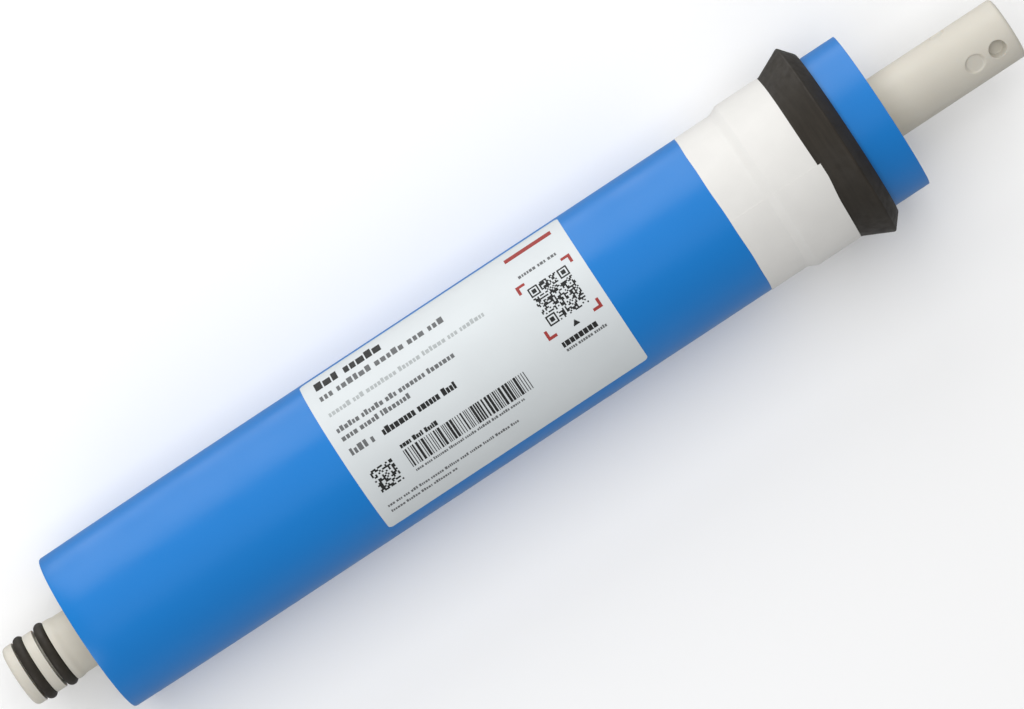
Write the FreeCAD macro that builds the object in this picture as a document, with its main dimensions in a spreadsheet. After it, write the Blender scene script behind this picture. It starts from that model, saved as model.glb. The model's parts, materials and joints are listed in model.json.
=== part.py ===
import FreeCAD, Part
import math
import os

import Sketcher

# A household reverse-osmosis membrane element, wound on a moulded permeate tube.
# It is drawn along its own axis (+X from the spigot tip to the far tube end) and
# then laid on its side, where it rests on the crest of its brine seal and on the
# edge of its wrap. Sizes are in millimetres, angles in degrees.

SIZES = [
    ("overall_length", 298.0, "spigot tip to far tube end"),
    ("tip_radius", 8.45, "spigot tip"),
    ("tube_radius", 8.25, "permeate tube between its ends, under the roll"),
    ("stub_radius", 8.5, "far tube end, beyond the roll"),
    ("land_radius", 8.35, "land between the two O-ring grooves"),
    ("rib_radius", 8.55, "rib behind the inner groove"),
    ("groove_radius", 6.45, "bottom of both O-ring grooves"),
    ("tip_rounding", 2.0, "spigot tip"),
    ("far_rounding", 2.3, "far tube end"),
    ("bore_radius", 4.75, "permeate bore"),
    ("bore_depth", 264.0, "blind bore, from the spigot tip"),
    ("bore_chamfer", 0.6, "mouth of the bore"),
    ("outer_groove_start", 3.1, "groove nearest the tip"),
    ("outer_groove_end", 6.3, "groove nearest the tip"),
    ("inner_groove_start", 9.1, "groove nearest the roll"),
    ("inner_groove_end", 12.6, "groove nearest the roll"),
    ("rib_end", 14.5, "rib behind the inner groove"),
    ("perforation_radius", 1.0, "holes that let permeate into the bore"),
    ("perforation_start", 45.0, "first pair of holes"),
    ("perforation_span", 190.0, "first pair of holes to last"),
    ("perforation_pairs", 5.0, "pairs of holes, each drilled right across"),
    ("o_ring_cord_radius", 1.31, "O-ring section"),
    ("outer_o_ring_place", 4.98, "section centre along the tube"),
    ("inner_o_ring_place", 11.2, "section centre along the tube"),
    ("wide_dimple_place", 285.5, "wide shallow dimple"),
    ("wide_dimple_radius", 2.15, "its floor"),
    ("wide_dimple_depth", 0.7, "below the tube surface"),
    ("wide_dimple_flare", 45.0, "slope of its wall"),
    ("deep_dimple_place", 292.2, "narrow deep dimple"),
    ("deep_dimple_radius", 2.1, "its floor"),
    ("deep_dimple_depth", 3.0, "below the tube surface"),
    ("deep_dimple_flare", 5.5, "slope of its wall"),
    ("dimple_angle", 23.4, "both round dimples, from straight up"),
    ("side_dimple_place", 281.6, "third dimple, on the other side"),
    ("side_dimple_radius", 1.95, "its floor"),
    ("side_dimple_depth", 0.35, "below the tube surface"),
    ("side_dimple_flare", 20.0, "slope of its wall"),
    ("side_dimple_angle", -75.0, "from straight up"),
    ("wrap_start", 20.7, "wrap edge at the spigot end"),
    ("wrap_end", 259.9, "wrap edge at the seal end"),
    ("wrap_inner_radius", 21.8, "wrap against the roll"),
    ("wrap_edge_radius", 22.2, "wrap at its spigot end"),
    ("wrap_radius", 22.5, "wrap along its middle"),
    ("wrap_swell_end", 70.0, "where the wrap reaches its full radius"),
    ("wrap_chamfer", 0.4, "wrap edge at the spigot end, along the tube"),
    ("wrap_lip_radius", 21.95, "wrap edge at the spigot end, on its face"),
    ("collar_radius", 22.05, "wrap beyond the brine seal"),
    ("collar_start", 243.2, "step down to the collar, inside the seal"),
    ("carrier_thickness", 0.25, "permeate carrier cloth"),
    ("membrane_thickness", 0.15, "membrane sheet"),
    ("roll_turns", 9.0, "turns between the first layer and the last"),
    ("crescent_start", 215.0, "where the first turn lifts off the lead turn"),
    ("envelope_recess", 0.4, "membrane edge inside the wrap edge"),
    ("spacer_recess", 1.2, "feed spacer edge inside the wrap edge"),
    ("seal_start", 225.5, "brine seal sleeve, under the tape"),
    ("seal_sleeve_radius", 23.72, "sleeve under the tape"),
    ("seal_crest_start", 246.0, "crest of the lip"),
    ("seal_crest_end", 246.4, "crest of the lip"),
    ("seal_crest_radius", 27.4, "crest of the lip"),
    ("seal_end", 249.6, "heel of the lip"),
    ("seal_heel_radius", 23.5, "heel of the lip"),
    ("seal_undercut_start", 243.4, "apex of the gap under the lip"),
    ("tape_start", 212.4, "tape edge on the wrap"),
    ("tape_end", 238.4, "tape edge at the lip"),
    ("tape_thickness", 0.13, "tape over the seal sleeve"),
    ("tape_ramp_start", 223.1, "where the tape lifts off the wrap"),
    ("label_start", 99.5, "label edge nearest the spigot"),
    ("label_end", 176.9, "label edge nearest the seal"),
    ("label_thickness", 0.1, "label"),
    ("label_wrap_angle", 138.0, "how far the label goes round"),
    ("label_turn", -8.0, "middle of the label, from straight up"),
    ("label_corner", 1.3, "rounded label corners"),
]
SIZE = {alias: value for alias, value, note in SIZES}
O_RING_SIDES = 12

doc = FreeCAD.newDocument("membrane_element")
sheet = doc.addObject("Spreadsheet::Sheet", "Dimensions")
for row, (alias, value, note) in enumerate(SIZES, start=1):
    sheet.set(f"A{row}", note)
    sheet.set(f"B{row}", str(value))
    sheet.setAlias(f"B{row}", alias)
doc.recompute()


def number(total):
    """The value of a sum of named sizes, such as "wrap_start + wrap_chamfer"."""
    sign = 1
    value = 0.0
    for word in total.split():
        if word in ("+", "-"):
            sign = 1 if word == "+" else -1
        else:
            value += sign * SIZE[word]
    return value


def formula(total):
    """The same sum as an expression on the sheet's cells."""
    return " ".join(word if word in "+-" else f"Dimensions.{word}" for word in total.split())


def new_body(label):
    body = doc.addObject("PartDesign::Body", label)
    body.Label = label
    return body


def new_sketch(body, name, role, offset=None):
    """A sketch on one of the body's own origin planes."""
    sketch = body.newObject("Sketcher::SketchObject", name)
    plane = next(part for part in body.Origin.OriginFeatures if part.Role == role)
    sketch.AttachmentSupport = [(plane, "")]
    sketch.MapMode = "FlatFace"
    if offset is not None:
        sketch.AttachmentOffset = offset
    return sketch


def pin_point(sketch, edge, end, across, up):
    """Ties one end of an edge to the sheet: across is along +X, up is the radius."""
    for kind, total in (("DistanceX", across), ("DistanceY", up)):
        if total == "":
            axis = -1 if kind == "DistanceY" else -2
            sketch.addConstraint(Sketcher.Constraint("PointOnObject", edge, end, axis))
            continue
        index = sketch.addConstraint(Sketcher.Constraint(kind, edge, end, number(total)))
        sketch.setExpression(f"Constraints[{index}]", formula(total))


def outline(sketch, corners):
    """A closed outline of straight sides. Each corner is a pair of sums; "" is zero."""
    points = [
        FreeCAD.Vector(number(across), number(up), 0) for across, up in corners
    ]
    for start, end in zip(points, points[1:] + points[:1]):
        sketch.addGeometry(Part.LineSegment(start, end), False)
    count = len(points)
    for side in range(count):
        following = (side + 1) % count
        sketch.addConstraint(Sketcher.Constraint("Coincident", side, 2, following, 1))
    for side, (across, up) in enumerate(corners):
        pin_point(sketch, side, 1, across, up)


def revolve(body, sketch, name="Turned"):
    """Turns a sketch on the XZ plane once round the X axis."""
    turned = body.newObject("PartDesign::Revolution", name)
    turned.Profile = sketch
    turned.ReferenceAxis = (sketch, ["H_Axis"])
    turned.Angle = 360.0
    doc.recompute()
    return turned


def rims(feature, place, radius):
    """Names of the feature's circular edges at a place along X with a given radius."""
    names = []
    for index, edge in enumerate(feature.Shape.Edges, start=1):
        if not isinstance(edge.Curve, Part.Circle):
            continue
        centre = edge.Curve.Center
        on_axis = math.hypot(centre.y, centre.z) < 1e-4
        if on_axis and abs(centre.x - place) < 1e-4 and abs(edge.Curve.Radius - radius) < 1e-4:
            names.append(f"Edge{index}")
    if not names:
        raise ValueError(f"no rim at {place} with radius {radius}")
    return names


def dress(body, kind, base, edges, size):
    """A fillet or a chamfer on named edges, its size bound to the sheet."""
    feature = body.newObject(f"PartDesign::{kind}", kind)
    feature.Base = (base, edges)
    feature.setExpression("Radius" if kind == "Fillet" else "Size", formula(size))
    doc.recompute()
    return feature


def dimple(body, prefix, angle):
    """A round recess that widens outwards, at an angle from straight up round the tube."""
    turn = math.radians(number(angle))
    floor = number("stub_radius") - number(f"{prefix}_depth")
    seat = FreeCAD.Vector(0, -math.sin(turn) * floor, math.cos(turn) * floor)
    tilted = FreeCAD.Placement(seat, FreeCAD.Rotation(FreeCAD.Vector(1, 0, 0), number(angle)))
    sketch = new_sketch(body, f"{prefix}_sketch", "XY_Plane", tilted)
    centre = FreeCAD.Vector(number(f"{prefix}_place"), 0, 0)
    circle = Part.Circle(centre, FreeCAD.Vector(0, 0, 1), number(f"{prefix}_radius"))
    sketch.addGeometry(circle, False)
    pin_point(sketch, 0, 3, f"{prefix}_place", "")
    radius = sketch.addConstraint(Sketcher.Constraint("Radius", 0, number(f"{prefix}_radius")))
    sketch.setExpression(f"Constraints[{radius}]", formula(f"{prefix}_radius"))
    pocket = body.newObject("PartDesign::Pocket", prefix)
    pocket.Profile = sketch
    pocket.Reversed = True
    pocket.setExpression("Length", formula(f"{prefix}_depth + {prefix}_depth"))
    pocket.setExpression("TaperAngle", formula(f"{prefix}_flare"))
    before = body.Shape.Volume
    doc.recompute()
    if body.Shape.Volume >= before:
        raise ValueError(f"{prefix} cuts nothing")


def permeate_tube():
    """One moulding: grooved spigot, perforated core under the roll, closed far end."""
    body = new_body("permeate_tube")
    sketch = new_sketch(body, "section", "XZ_Plane")
    outline(sketch, [
        ("", "bore_radius"),
        ("", "tip_radius"),
        ("outer_groove_start", "tip_radius"),
        ("outer_groove_start", "groove_radius"),
        ("outer_groove_end", "groove_radius"),
        ("outer_groove_end", "land_radius"),
        ("inner_groove_start", "land_radius"),
        ("inner_groove_start", "groove_radius"),
        ("inner_groove_end", "groove_radius"),
        ("inner_groove_end", "rib_radius"),
        ("rib_end", "rib_radius"),
        ("rib_end", "tube_radius"),
        ("wrap_end", "tube_radius"),
        ("wrap_end", "stub_radius"),
        ("overall_length", "stub_radius"),
        ("overall_length", ""),
        ("bore_depth", ""),
        ("bore_depth", "bore_radius"),
    ])
    turned = revolve(body, sketch)
    tip = dress(body, "Fillet", turned, rims(turned, 0.0, number("tip_radius")), "tip_rounding")
    far_rim = rims(tip, number("overall_length"), number("stub_radius"))
    far = dress(body, "Fillet", tip, far_rim, "far_rounding")
    dress(body, "Chamfer", far, rims(far, 0.0, number("bore_radius")), "bore_chamfer")

    drill = new_sketch(body, "perforation_sketch", "XY_Plane")
    centre = FreeCAD.Vector(number("perforation_start"), 0, 0)
    up = FreeCAD.Vector(0, 0, 1)
    drill.addGeometry(Part.Circle(centre, up, number("perforation_radius")), False)
    pin_point(drill, 0, 3, "perforation_start", "")
    size = Sketcher.Constraint("Radius", 0, number("perforation_radius"))
    radius = drill.addConstraint(size)
    drill.setExpression(f"Constraints[{radius}]", formula("perforation_radius"))
    hole = body.newObject("PartDesign::Pocket", "perforation")
    hole.Profile = drill
    hole.Type = "ThroughAll"
    hole.Midplane = True
    row = body.newObject("PartDesign::LinearPattern", "perforations")
    row.Originals = [hole]
    row.Direction = (drill, ["H_Axis"])
    row.setExpression("Length", formula("perforation_span"))
    row.Occurrences = int(number("perforation_pairs"))
    body.Tip = row
    doc.recompute()

    dimple(body, "wide_dimple", "dimple_angle")
    dimple(body, "deep_dimple", "dimple_angle")
    dimple(body, "side_dimple", "side_dimple_angle")
    return body


def o_ring(label, place):
    """A seal ring that sits on the bottom of its groove, its section drawn with flats."""
    body = new_body(label)
    sketch = new_sketch(body, "section", "XZ_Plane")
    cord = number("o_ring_cord_radius")
    centre = FreeCAD.Vector(number(place), number("groove_radius") + cord, 0)
    corners = []
    for side in range(O_RING_SIDES):
        angle = 2 * math.pi * side / O_RING_SIDES
        corners.append(centre + FreeCAD.Vector(math.sin(angle), math.cos(angle), 0) * cord)
    for start, end in zip(corners, corners[1:] + corners[:1]):
        sketch.addGeometry(Part.LineSegment(start, end), False)
    sketch.addGeometry(Part.Circle(centre, FreeCAD.Vector(0, 0, 1), cord), True)
    round_guide = O_RING_SIDES
    for side in range(O_RING_SIDES):
        following = (side + 1) % O_RING_SIDES
        sketch.addConstraint(Sketcher.Constraint("Coincident", side, 2, following, 1))
        sketch.addConstraint(Sketcher.Constraint("PointOnObject", side, 1, round_guide))
        if side:
            sketch.addConstraint(Sketcher.Constraint("Equal", 0, side))
    sketch.addConstraint(Sketcher.Constraint("Vertical", 0, 1, round_guide, 3))
    pin_point(sketch, round_guide, 3, place, "groove_radius + o_ring_cord_radius")
    radius = sketch.addConstraint(Sketcher.Constraint("Radius", round_guide, cord))
    sketch.setExpression(f"Constraints[{radius}]", formula("o_ring_cord_radius"))
    revolve(body, sketch)
    return body


def half_turn(radius, centre, start, end):
    """An arc of the roll about a centre on the Y axis, from one angle to another."""
    circle = Part.Circle(FreeCAD.Vector(centre, 0, 0), FreeCAD.Vector(0, 0, 1), radius)
    return Part.ArcOfCircle(circle, math.radians(start), math.radians(end))


def straight(start, end):
    return Part.LineSegment(FreeCAD.Vector(*start, 0), FreeCAD.Vector(*end, 0))


def roll_side(first_radius, pitch, halves):
    """One side of a rolled sheet: half turns whose centres swap, so the radius grows by
    half the pitch at each crossing of the Y axis and neighbours stay tangent."""
    arcs = []
    for half in range(halves):
        lower = half % 2
        radius = first_radius + half * pitch / 2
        centre = lower * pitch / 2
        arcs.append(half_turn(radius, centre, 180 * lower, 180 * lower + 180))
    return arcs


def pad_between(body, sketch, length):
    pad = body.newObject("PartDesign::Pad", "Length")
    pad.Profile = sketch
    pad.setExpression("Length", formula(length))
    doc.recompute()
    return pad


def roll_sizes():
    """Radii that the sheets of the roll share, on the half turn above the Y axis."""
    carrier = number("carrier_thickness")
    membrane = number("membrane_thickness")
    lead = number("tube_radius") + carrier
    channel = lead + carrier + membrane
    pitch = (number("wrap_inner_radius") - channel) / number("roll_turns")
    gap = pitch - carrier - 2 * membrane
    return lead, channel, pitch, gap


def roll_sketch(body, recess):
    """A sketch square to the tube, set back from the wrap's edge."""
    start = FreeCAD.Placement(
        FreeCAD.Vector(0, 0, number(f"wrap_start + {recess}")), FreeCAD.Rotation()
    )
    sketch = new_sketch(body, "section", "YZ_Plane", start)
    sketch.setExpression("AttachmentOffset.Base.z", formula(f"wrap_start + {recess}"))
    return sketch


def add_loop(sketch, edges):
    """Adds edges that run end to end, and joins each to the next. An edge drawn the
    other way round is a pair (edge, True)."""
    first = sketch.GeometryCount
    for edge, backwards in edges:
        sketch.addGeometry(edge, False)
    count = len(edges)
    for step in range(count):
        following = (step + 1) % count
        leaving = 1 if edges[step][1] else 2
        entering = 2 if edges[following][1] else 1
        joint = Sketcher.Constraint(
            "Coincident", first + step, leaving, first + following, entering
        )
        sketch.addConstraint(joint)


def membrane_envelope():
    """The membrane, folded round the inner end of the feed spacer and glued on three
    sides to the permeate carrier, which first takes one lead turn of the tube."""
    lead, channel, pitch, gap = roll_sizes()
    carrier = number("carrier_thickness")
    membrane = number("membrane_thickness")
    turns = int(number("roll_turns"))
    body = new_body("membrane_envelope")
    sketch = roll_sketch(body, "envelope_recess")

    under_spacer = roll_side(channel, pitch, 2 * turns + 1)
    over_spacer = roll_side(channel + gap, pitch, 2 * turns - 1)
    fold_centre = channel + gap / 2
    edge_out = number("wrap_inner_radius")
    edge_in = channel + gap + (turns - 1) * pitch
    loop = [(arc, False) for arc in under_spacer]
    loop.append((straight((-edge_out, 0), (-edge_in, 0)), False))
    loop += [(arc, True) for arc in reversed(over_spacer)]
    loop.append((half_turn(gap / 2, fold_centre, 180, 360), True))
    add_loop(sketch, loop)

    tube = number("tube_radius")
    add_loop(sketch, [
        (half_turn(tube, 0, 0, 180), False),
        (half_turn(tube + carrier / 2, carrier / 2, 180, 360), False),
        (straight((tube + carrier, 0), (tube, 0)), False),
    ])

    start = number("crescent_start")
    lead_side = half_turn(lead + carrier / 2, carrier / 2, start, 360)
    turn_side = half_turn(lead + pitch / 2, pitch / 2, start, 360)
    near = lead_side.StartPoint
    far = turn_side.StartPoint
    add_loop(sketch, [
        (lead_side, False),
        (half_turn(gap / 2 + membrane, fold_centre, 180, 360), False),
        (turn_side, True),
        (straight((far.x, far.y), (near.x, near.y)), False),
    ])
    pad_between(body, sketch, "wrap_end - wrap_start - envelope_recess - envelope_recess")
    return body


def feed_spacer():
    """The net that keeps the membrane faces apart, solid here, between the turns."""
    lead, channel, pitch, gap = roll_sizes()
    turns = int(number("roll_turns"))
    body = new_body("feed_spacer")
    sketch = roll_sketch(body, "spacer_recess")
    inner = roll_side(channel, pitch, 2 * turns)
    outer = roll_side(channel + gap, pitch, 2 * turns)
    # the last half turn stops where its outer side meets the wrap
    offset = pitch / 2
    inner_radius = channel + (2 * turns - 1) * offset
    outer_radius = inner_radius + gap
    wrap = number("wrap_inner_radius")
    meeting = (wrap ** 2 - outer_radius ** 2 - offset ** 2) / (2 * outer_radius * offset)
    stop = 360 - math.degrees(math.acos(meeting)) - 1.0
    inner[-1] = half_turn(inner_radius, offset, 180, stop)
    outer[-1] = half_turn(outer_radius, offset, 180, stop)
    tail_in = inner[-1].EndPoint
    tail_out = outer[-1].EndPoint
    loop = [(arc, False) for arc in inner]
    loop.append((straight((tail_in.x, tail_in.y), (tail_out.x, tail_out.y)), False))
    loop += [(arc, True) for arc in reversed(outer)]
    loop.append((straight((channel + gap, 0), (channel, 0)), False))
    add_loop(sketch, loop)
    pad_between(body, sketch, "wrap_end - wrap_start - spacer_recess - spacer_recess")
    return body


def body_wrap():
    """The blue wrap, one skin from end to end, a little slimmer at both ends."""
    body = new_body("body_wrap")
    sketch = new_sketch(body, "section", "XZ_Plane")
    outline(sketch, [
        ("wrap_start", "wrap_inner_radius"),
        ("wrap_start", "wrap_lip_radius"),
        ("wrap_start + wrap_chamfer", "wrap_edge_radius"),
        ("wrap_swell_end", "wrap_radius"),
        ("collar_start", "wrap_radius"),
        ("collar_start", "collar_radius"),
        ("wrap_end", "collar_radius"),
        ("wrap_end", "wrap_inner_radius"),
    ])
    revolve(body, sketch)
    return body


def brine_seal():
    """A rubber lip seal: a sleeve held down by the tape, and a lip that feed water
    pushes outwards from the gap under its heel."""
    body = new_body("brine_seal")
    sketch = new_sketch(body, "section", "XZ_Plane")
    outline(sketch, [
        ("seal_start", "wrap_radius"),
        ("seal_start", "seal_sleeve_radius"),
        ("tape_end", "seal_sleeve_radius"),
        ("seal_crest_start", "seal_crest_radius"),
        ("seal_crest_end", "seal_crest_radius"),
        ("seal_end", "seal_heel_radius"),
        ("seal_undercut_start", "wrap_radius"),
    ])
    revolve(body, sketch)
    return body


def seal_tape():
    """White tape, half on the wrap and half over the seal's sleeve."""
    body = new_body("seal_tape")
    sketch = new_sketch(body, "section", "XZ_Plane")
    outline(sketch, [
        ("tape_start", "wrap_radius"),
        ("tape_start", "wrap_radius + tape_thickness"),
        ("tape_ramp_start", "wrap_radius + tape_thickness"),
        ("seal_start - tape_thickness", "seal_sleeve_radius + tape_thickness"),
        ("tape_end", "seal_sleeve_radius + tape_thickness"),
        ("tape_end", "seal_sleeve_radius"),
        ("seal_start", "seal_sleeve_radius"),
        ("tape_ramp_start + tape_thickness", "wrap_radius"),
    ])
    revolve(body, sketch)
    return body


def label():
    """A paper label on the wrap, with rounded corners."""
    body = new_body("label")
    sketch = new_sketch(body, "section", "XZ_Plane")
    outline(sketch, [
        ("label_start", "wrap_radius"),
        ("label_start", "wrap_radius + label_thickness"),
        ("label_end", "wrap_radius + label_thickness"),
        ("label_end", "wrap_radius"),
    ])
    sheet_arc = body.newObject("PartDesign::Revolution", "Wrapped")
    sheet_arc.Profile = sketch
    sheet_arc.ReferenceAxis = (sketch, ["H_Axis"])
    sheet_arc.Midplane = True
    sheet_arc.setExpression("Angle", formula("label_wrap_angle"))
    doc.recompute()
    short_edges = []
    for index, edge in enumerate(sheet_arc.Shape.Edges, start=1):
        if edge.Length < 2 * number("label_thickness"):
            short_edges.append(f"Edge{index}")
    dress(body, "Fillet", sheet_arc, short_edges, "label_corner")
    return body


def resting_place():
    """Where the element lies: seal crest and wrap edge both on the ground plane, the
    middle of its length over the origin."""
    contact = number("wrap_start + wrap_chamfer")
    rise = number("seal_crest_radius - wrap_edge_radius")
    run = number("seal_crest_start") - contact
    tilt = math.atan2(rise, run)
    sine = math.sin(tilt)
    cosine = math.cos(tilt)
    lift = number("wrap_edge_radius") * cosine - contact * sine
    low_end = -number("tip_radius - tip_rounding") * sine
    high_end = number("overall_length") * cosine + number("stub_radius - far_rounding") * sine
    base = FreeCAD.Vector(-(low_end + high_end) / 2, 0, lift)
    return FreeCAD.Placement(base, FreeCAD.Rotation(FreeCAD.Vector(0, 1, 0), -math.degrees(tilt)))


pieces = [
    permeate_tube(),
    o_ring("outer_o_ring", "outer_o_ring_place"),
    o_ring("inner_o_ring", "inner_o_ring_place"),
    membrane_envelope(),
    feed_spacer(),
    body_wrap(),
    brine_seal(),
    seal_tape(),
    label(),
]
lying = resting_place()
for piece in pieces:
    piece.Placement = lying
turned_label = FreeCAD.Rotation(FreeCAD.Vector(1, 0, 0), number("label_turn"))
pieces[-1].Placement = lying.multiply(FreeCAD.Placement(FreeCAD.Vector(), turned_label))
doc.recompute()

for item in doc.Objects:
    if "Invalid" in item.State or "Error" in item.State:
        raise RuntimeError(f"{item.Label} did not compute: {item.State}")
os.makedirs("parts", exist_ok=True)
for piece in pieces:
    if piece.Shape.isNull() or not piece.Shape.isValid() or len(piece.Shape.Solids) != 1:
        raise RuntimeError(f"{piece.Label} is not one valid solid")
for piece in pieces:
    piece.Shape.exportStep(f"parts/{piece.Label}.step")
    print(f"{piece.Label}: {piece.Shape.Volume:.1f} mm3")
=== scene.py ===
import json
import math
from collections import namedtuple

import bmesh
import bpy
import numpy as np
from bpy.props import FloatProperty, FloatVectorProperty, IntProperty, PointerProperty
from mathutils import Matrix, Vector


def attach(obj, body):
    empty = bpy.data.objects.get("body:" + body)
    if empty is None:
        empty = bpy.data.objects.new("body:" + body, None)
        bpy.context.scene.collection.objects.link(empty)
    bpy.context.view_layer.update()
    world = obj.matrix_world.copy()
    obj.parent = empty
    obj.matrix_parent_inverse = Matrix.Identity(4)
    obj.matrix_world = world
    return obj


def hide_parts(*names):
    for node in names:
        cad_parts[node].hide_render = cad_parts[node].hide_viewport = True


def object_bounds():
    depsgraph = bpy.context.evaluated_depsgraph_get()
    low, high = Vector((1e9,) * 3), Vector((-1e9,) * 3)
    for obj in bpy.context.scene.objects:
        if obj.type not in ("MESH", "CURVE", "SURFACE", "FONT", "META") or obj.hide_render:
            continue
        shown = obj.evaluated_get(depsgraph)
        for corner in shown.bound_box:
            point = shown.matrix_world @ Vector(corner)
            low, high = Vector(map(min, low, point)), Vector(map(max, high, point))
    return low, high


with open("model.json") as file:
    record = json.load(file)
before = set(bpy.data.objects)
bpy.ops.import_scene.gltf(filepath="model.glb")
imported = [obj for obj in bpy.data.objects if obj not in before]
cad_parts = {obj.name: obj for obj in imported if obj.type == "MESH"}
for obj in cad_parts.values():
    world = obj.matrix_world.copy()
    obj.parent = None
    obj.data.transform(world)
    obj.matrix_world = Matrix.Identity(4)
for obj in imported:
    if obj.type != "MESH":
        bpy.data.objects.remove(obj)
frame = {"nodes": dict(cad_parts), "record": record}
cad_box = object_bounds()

bl_info = {
    "name": "Membrane element",
    "version": (1, 0, 0),
    "blender": (4, 5, 0),
    "location": "3D View > Sidebar > Membrane element",
    "description": "Builds the looks of a wound reverse-osmosis membrane element",
    "category": "Object",
}

MM = 0.001
BODY = "root"
IMAGE_WIDTH = 1024
WELD = 2e-7
SHARP_CORNER = math.radians(32)


# --- where things are -------------------------------------------------------------

def mount(name):
    return next(m for m in frame["record"]["mounts"] if m["name"] == name)


def unit(vector):
    return np.array(vector) / np.linalg.norm(vector)


# The element lies along AXIS from its spigot tip. UP is square to it, and SIDE is level.
BORE_MOUNT_FROM_TIP = 10 * MM
AXIS = -unit(mount("permeate_bore")["axis"])
TIP = np.array(mount("permeate_bore")["pos_m"]) - BORE_MOUNT_FROM_TIP * AXIS
SIDE = np.array([0.0, 1.0, 0.0])
UP = np.cross(AXIS, SIDE)

Extent = namedtuple("Extent", "start end inner outer")


def extent(node):
    """Where a CAD node starts and ends along the axis, and its least and greatest
    distance from it."""
    mesh = frame["nodes"][node].data
    corners = np.empty(len(mesh.vertices) * 3)
    mesh.vertices.foreach_get("co", corners)
    offset = corners.reshape(-1, 3) - TIP
    along = offset @ AXIS
    radius = np.hypot(offset @ SIDE, offset @ UP)
    return Extent(along.min(), along.max(), radius.min(), radius.max())


TUBE = extent("permeate_tube")
OUTER_RING = extent("outer_o_ring")
INNER_RING = extent("inner_o_ring")
ENVELOPE = extent("membrane_envelope")
SPACER = extent("feed_spacer")
WRAP = extent("body_wrap")
SEAL = extent("brine_seal")
TAPE = extent("seal_tape")
LABEL = extent("label")


def place(along, side, up):
    """Points of the element in the row frame, from distances along its axis, to its
    side and upwards, in arrays that broadcast together."""
    along, side, up = np.broadcast_arrays(along, side, up)
    return TIP + along[..., None] * AXIS + side[..., None] * SIDE + up[..., None] * UP


def turned(along, radius, turn):
    """Points at a radius about the axis, turned from straight up away from SIDE."""
    return place(along, -radius * np.sin(turn), radius * np.cos(turn))


# --- settings ---------------------------------------------------------------------

def size(name, description, default):
    return FloatProperty(name=name, description=description, default=default, min=0.0,
                         unit="LENGTH", subtype="DISTANCE", precision=5)


def angle(name, description, degrees):
    return FloatProperty(name=name, description=description,
                         default=math.radians(degrees), unit="ROTATION", subtype="ANGLE")


def colour(name, description, default):
    return FloatVectorProperty(name=name, description=description, default=default,
                               min=0.0, max=1.0, size=3, subtype="COLOR")


class TubeSettings(bpy.types.PropertyGroup):
    tip_radius: size("Tip radius", "Spigot tip", 8.45 * MM)
    tip_rounding: size("Tip rounding", "Rounded rim of the spigot tip", 2.0 * MM)
    groove_radius: size("Groove radius", "Bottom of both grooves", 6.45 * MM)
    outer_groove_start: size("Outer groove start", "Groove nearest the tip", 3.1 * MM)
    outer_groove_end: size("Outer groove end", "Groove nearest the tip", 6.3 * MM)
    land_radius: size("Land radius", "Land between the grooves", 8.35 * MM)
    inner_groove_start: size("Inner groove start", "Groove nearest the roll", 9.1 * MM)
    inner_groove_end: size("Inner groove end", "Groove nearest the roll", 12.6 * MM)
    rib_radius: size("Rib radius", "Rib behind the inner groove", TUBE.outer)
    rib_end: size("Rib end", "Rib behind the inner groove", 14.5 * MM)
    core_radius: size("Core radius", "Tube under the roll", 8.25 * MM)
    stub_radius: size("Stub radius", "Far tube end", 8.5 * MM)
    far_rounding: size("Far rounding", "Rounded rim of the far end", 2.3 * MM)
    bore_radius: size("Bore radius", "Permeate bore", 4.75 * MM)
    bore_depth: size("Bore depth", "Blind bore, from the tip", 264.0 * MM)
    bore_chamfer: size("Bore chamfer", "Mouth of the bore", 0.6 * MM)
    colour: colour("Plastic", "Moulded tube", (0.60, 0.57, 0.50))


class RollSettings(bpy.types.PropertyGroup):
    turns: IntProperty(name="Turns", description="Turns of the sheets", default=9, min=1)
    carrier: size("Carrier", "Thickness of the permeate carrier", 0.25 * MM)
    membrane: size("Membrane", "Thickness of a membrane sheet", 0.15 * MM)
    strand_pitch: size("Strand pitch", "Between cut strands of the net", 1.35 * MM)
    strand_reach: size("Strand reach", "Cut strands stand out by this", 0.55 * MM)
    membrane_colour: colour("Membrane", "Membrane sheet", (0.80, 0.79, 0.73))
    carrier_colour: colour("Carrier", "Glued carrier cloth", (0.60, 0.53, 0.38))
    net_colour: colour("Net", "Feed spacer net", (0.55, 0.58, 0.58))


class WrapSettings(bpy.types.PropertyGroup):
    edge_radius: size("Edge radius", "Wrap at its spigot end", 22.2 * MM)
    swell_end: size("Swell end", "Where the wrap reaches its full radius", 70.0 * MM)
    collar_start: size("Collar start", "Step down inside the seal", 243.2 * MM)
    collar_radius: size("Collar radius", "Wrap beyond the seal", 22.05 * MM)
    colour: colour("Film", "Blue wrap", (0.0, 0.18, 0.56))


class SealSettings(bpy.types.PropertyGroup):
    sleeve_radius: size("Sleeve radius", "Sleeve under the tape", TAPE.outer - 0.13 * MM)
    crest_start: size("Crest start", "Crest of the lip", 246.0 * MM)
    crest_end: size("Crest end", "Crest of the lip", 246.4 * MM)
    heel_radius: size("Heel radius", "Heel of the lip", 23.5 * MM)
    undercut_start: size("Undercut start", "Apex of the gap under the lip", 243.4 * MM)
    ring_height: size("O-ring height", "Half the cord, out from the tube", 1.31 * MM)
    ring_width: size("O-ring width", "Half the cord, along the tube", 1.43 * MM)
    colour: colour("Rubber", "Seal and O-rings", (0.030, 0.025, 0.019))


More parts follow.
